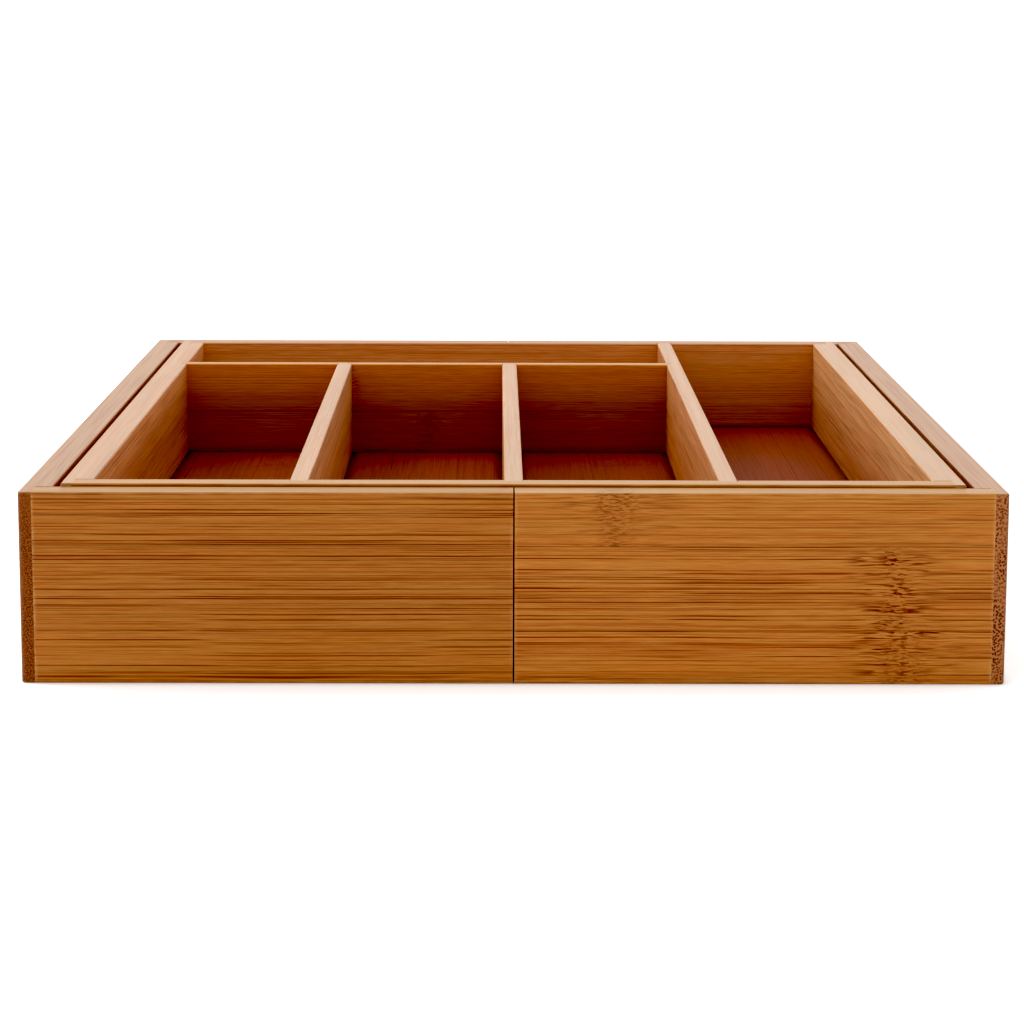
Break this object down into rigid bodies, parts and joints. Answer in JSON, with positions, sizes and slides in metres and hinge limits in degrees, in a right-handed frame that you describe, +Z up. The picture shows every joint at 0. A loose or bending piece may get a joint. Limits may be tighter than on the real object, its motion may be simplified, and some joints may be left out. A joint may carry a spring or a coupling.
{
  "type": "cutlery tray",
  "caption": "Extending bamboo cutlery tray: a divided centre tray nested in split half trays that slide apart sideways to fill a wider drawer.",
  "frame": {"origin": "on the surface that the tray stands on, in the middle of the closed tray", "axes": "+X to the right as seen from the front, along the slides, +Y to the back, +Z up"},
  "size_m": [0.259, 0.342, 0.0518],
  "materials": {
    "bamboo_outer_board": "satin oil",
    "bamboo_centre_board": "satin oil",
    "bamboo_divider": "satin oil",
    "bamboo_floor": "satin oil",
    "bamboo_key": "satin oil"
  },
  "bodies": {
    "centre_tray": {"centre_front_board": "bamboo_centre_board", "centre_back_board": "bamboo_centre_board", "centre_left_wall": "bamboo_centre_board", "centre_right_wall": "bamboo_centre_board", "centre_floor": "bamboo_floor", "left_divider": "bamboo_divider", "middle_divider": "bamboo_divider", "right_divider": "bamboo_divider", "rear_cross_divider": "bamboo_divider"},
    "left_tray": {"left_tray_side": "bamboo_outer_board", "left_tray_front": "bamboo_outer_board", "left_tray_back": "bamboo_outer_board", "left_tray_floor": "bamboo_floor", "left_front_stop_key": "bamboo_key", "left_back_stop_key": "bamboo_key"},
    "right_tray": {"right_tray_side": "bamboo_outer_board", "right_tray_front": "bamboo_outer_board", "right_tray_back": "bamboo_outer_board", "right_tray_floor": "bamboo_floor", "right_front_stop_key": "bamboo_key", "right_back_stop_key": "bamboo_key"}
  },
  "joints": [
    {"name": "left_tray_slide", "type": "slide", "parent": "centre_tray", "child": "left_tray", "axis": [-1, 0, 0], "range_m": [0, 0.08]},
    {"name": "right_tray_slide", "type": "slide", "parent": "centre_tray", "child": "right_tray", "axis": [1, 0, 0], "range_m": [0, 0.08]}
  ]
}
